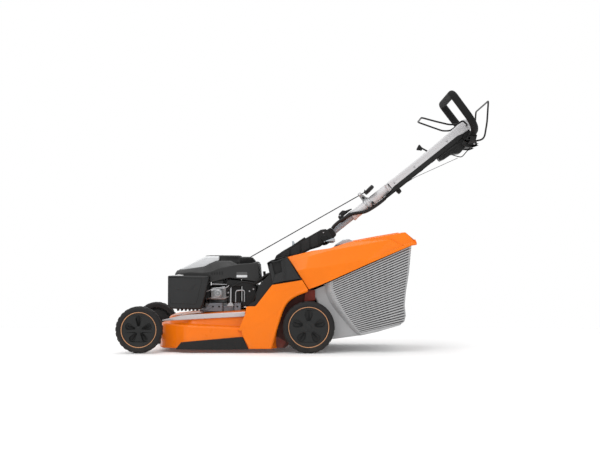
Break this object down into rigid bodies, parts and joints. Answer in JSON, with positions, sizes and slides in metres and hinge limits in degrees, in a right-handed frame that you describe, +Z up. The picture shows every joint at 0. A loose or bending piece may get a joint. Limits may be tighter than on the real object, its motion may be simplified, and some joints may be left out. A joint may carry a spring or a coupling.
{
  "type": "walk-behind rotary lawn mower",
  "caption": "Self-propelled petrol rotary lawn mower with a rear grass box, a single folding handlebar, a looped grip and swinging wheel arms for the cutting height.",
  "frame": {"origin": "on the ground, under the middle of the bounding box", "axes": "+X rearwards, towards the operator; +Y to the mower's right side; +Z up"},
  "size_m": [1.4619, 0.53, 1.0365],
  "materials": {
    "orange_paint": "powder coat, deep orange red",
    "orange_plastic": "satin moulded, orange",
    "silver_trim": "satin strip",
    "black_plastic": "grained, black",
    "dark_grey_plastic": "grained, dark grey",
    "grey_plastic": "grained, mid grey",
    "pale_plastic": "satin, pale grey",
    "black_steel": "black paint",
    "bare_steel": "bare, lightly marked",
    "blade_steel": "dark ground steel",
    "cast_alloy": "as cast",
    "silver_bar": "anodised, satin",
    "tyre_rubber": "treaded",
    "soft_grip": "foam padded",
    "belt_rubber": "ribbed belt",
    "rope_cord": "braided",
    "ceramic_white": "glazed"
  },
  "bodies": {
    "mower_body": {"deck": "orange_paint", "discharge_chute": "orange_paint", "deck_trim_strips": "silver_trim", "side_covers": "orange_plastic", "side_bumpers": "black_plastic", "hinge_brackets": "dark_grey_plastic", "handle_console": "black_plastic", "engine_block": "cast_alloy", "engine_shroud": "black_plastic", "engine_top_cover": "pale_plastic", "recoil_housing": "black_plastic", "muffler_guard": "black_steel", "muffler": "bare_steel", "carburettor": "cast_alloy", "air_filter_box": "black_plastic", "fuel_tank": "black_plastic", "engine_bolts": "bare_steel", "spark_plug": "ceramic_white", "drive_belt": "belt_rubber", "starter_rope": "rope_cord", "control_cables": "black_plastic", "pivot_bolt": "bare_steel"},
    "rotor": {"crankshaft": "bare_steel", "flywheel": "cast_alloy", "blade": "blade_steel", "blade_bolt": "bare_steel", "crank_pulley": "bare_steel"},
    "front_carrier": {"front_axle_carrier": "bare_steel"},
    "rear_carrier": {"rear_axle_carrier": "bare_steel"},
    "wheel_front_left": {"tyre_front_left": "tyre_rubber", "rim_front_left": "dark_grey_plastic"},
    "wheel_front_right": {"tyre_front_right": "tyre_rubber", "rim_front_right": "dark_grey_plastic"},
    "wheel_rear_left": {"tyre_rear_left": "tyre_rubber", "rim_rear_left": "dark_grey_plastic"},
    "wheel_rear_right": {"tyre_rear_right": "tyre_rubber", "rim_rear_right": "dark_grey_plastic"},
    "drive_shaft": {"rear_drive_shaft": "bare_steel"},
    "gearbox": {"gearbox": "cast_alloy"},
    "gearbox_input": {"gearbox_pulley": "bare_steel"},
    "height_lever": {"height_lever": "black_plastic"},
    "handle": {"tube_socket": "black_plastic", "lower_tube": "silver_bar", "mid_tube": "silver_bar", "upper_bar": "silver_bar", "cable_channel": "black_plastic", "cable_sleeve": "black_plastic", "grip_loop": "soft_grip", "bail_bracket": "black_plastic", "rope_guide": "bare_steel"},
    "clamp_lever": {"clamp_lever": "black_plastic"},
    "stop_bail": {"stop_bail": "black_steel"},
    "drive_bail": {"drive_bail": "black_steel"},
    "speed_lever": {"speed_lever": "black_plastic"},
    "starter_grip": {"starter_grip": "black_plastic"},
    "grass_box": {"grass_box_body": "grey_plastic", "grass_box_lid": "orange_plastic"},
    "level_flap": {"level_flap": "pale_plastic"},
    "discharge_flap": {"discharge_flap": "dark_grey_plastic"},
    "fuel_cap": {"fuel_cap": "black_plastic"}
  },
  "joints": [
    {"name": "crankshaft_spin", "type": "hinge", "parent": "mower_body", "child": "rotor", "pos_m": [-0.335, 0, 0.2], "axis": [0, 0, 1], "continuous": true},
    {"name": "front_swing", "type": "hinge", "parent": "mower_body", "child": "front_carrier", "pos_m": [-0.585, 0, 0.07], "axis": [0, -1, 0], "range_deg": [0, 45]},
    {"name": "rear_swing", "type": "hinge", "parent": "mower_body", "child": "rear_carrier", "pos_m": [-0.045, 0, 0.08], "axis": [0, 1, 0], "range_deg": [0, 45], "deforming": ["drive_belt"]},
    {"name": "wheel_front_left_spin", "type": "hinge", "parent": "front_carrier", "child": "wheel_front_left", "pos_m": [-0.641, -0.24, 0.09], "axis": [0, 1, 0], "continuous": true},
    {"name": "wheel_front_right_spin", "type": "hinge", "parent": "front_carrier", "child": "wheel_front_right", "pos_m": [-0.641, 0.24, 0.09], "axis": [0, 1, 0], "continuous": true},
    {"name": "wheel_rear_left_spin", "type": "hinge", "parent": "rear_carrier", "child": "wheel_rear_left", "pos_m": [0.011, -0.24, 0.1], "axis": [0, 1, 0], "continuous": true},
    {"name": "wheel_rear_right_spin", "type": "hinge", "parent": "rear_carrier", "child": "wheel_rear_right", "pos_m": [0.011, 0.24, 0.1], "axis": [0, 1, 0], "continuous": true},
    {"name": "drive_shaft_spin", "type": "hinge", "parent": "rear_carrier", "child": "drive_shaft", "pos_m": [0.011, 0, 0.1], "axis": [0, 1, 0], "continuous": true},
    {"name": "gearbox_level", "type": "hinge", "parent": "rear_carrier", "child": "gearbox", "pos_m": [0.011, 0.15, 0.1], "axis": [0, -1, 0], "range_deg": [0, 45], "deforming": ["drive_belt"]},
    {"name": "gearbox_input_spin", "type": "hinge", "parent": "gearbox", "child": "gearbox_input", "pos_m": [0.011, 0.15, 0.12], "axis": [0, 0, 1], "continuous": true},
    {"name": "height_lever_turn", "type": "hinge", "parent": "mower_body", "child": "height_lever", "pos_m": [-0.16, 0.255, 0.15], "axis": [0, 1, 0], "range_deg": [0, 45]},
    {"name": "handle_fold", "type": "hinge", "parent": "mower_body", "child": "handle", "pos_m": [0.076, 0, 0.446], "axis": [0, -1, 0], "range_deg": [-8, 130], "deforming": ["starter_rope"]},
    {"name": "clamp_lever_turn", "type": "hinge", "parent": "handle", "child": "clamp_lever", "pos_m": [0.14092, 0, 0.54109], "axis": [0, -1, 0], "range_deg": [0, 60]},
    {"name": "stop_bail_turn", "type": "hinge", "parent": "handle", "child": "stop_bail", "pos_m": [0.657, 0, 0.832], "axis": [0, -1, 0], "range_deg": [0, 35], "stiffness_Nm_per_rad": 0.8, "springref_deg": -20.05},
    {"name": "drive_bail_turn", "type": "hinge", "parent": "handle", "child": "drive_bail", "pos_m": [0.6567, 0, 0.90791], "axis": [0, 1, 0], "range_deg": [0, 40], "stiffness_Nm_per_rad": 0.8, "springref_deg": -20.05},
    {"name": "speed_lever_turn", "type": "hinge", "parent": "handle", "child": "speed_lever", "pos_m": [0.51006, 0, 0.80149], "axis": [0, -1, 0], "range_deg": [-50, 12]},
    {"name": "starter_pull", "type": "slide", "parent": "handle", "child": "starter_grip", "axis": [0.4695, 0, 0.8829], "range_m": [0, 0.6], "stiffness_N_per_m": 20, "springref_m": -0.4, "deforming": ["starter_rope"]},
    {"name": "grass_box_slide", "type": "slide", "parent": "mower_body", "child": "grass_box", "axis": [1, 0, 0], "range_m": [0, 0.4]},
    {"name": "level_flap_turn", "type": "hinge", "parent": "grass_box", "child": "level_flap", "pos_m": [0.118, 0, 0.4135], "axis": [0, -1, 0], "range_deg": [0, 35]},
    {"name": "discharge_flap_turn", "type": "hinge", "parent": "mower_body", "child": "discharge_flap", "pos_m": [-0.044, 0, 0.354], "axis": [0, -1, 0], "range_deg": [0, 12]},
    {"name": "fuel_cap_turn", "type": "hinge", "parent": "mower_body", "child": "fuel_cap", "pos_m": [-0.237, -0.07, 0.36], "axis": [0, 0, 1], "continuous": true}
  ],
  "couplings": [
    {"joint": "rear_swing", "follows": "front_swing", "ratio": 1},
    {"joint": "gearbox_level", "follows": "front_swing", "ratio": 1},
    {"joint": "height_lever_turn", "follows": "front_swing", "ratio": 1},
    {"joint": "gearbox_input_spin", "follows": "crankshaft_spin", "ratio": 0.66667}
  ]
}
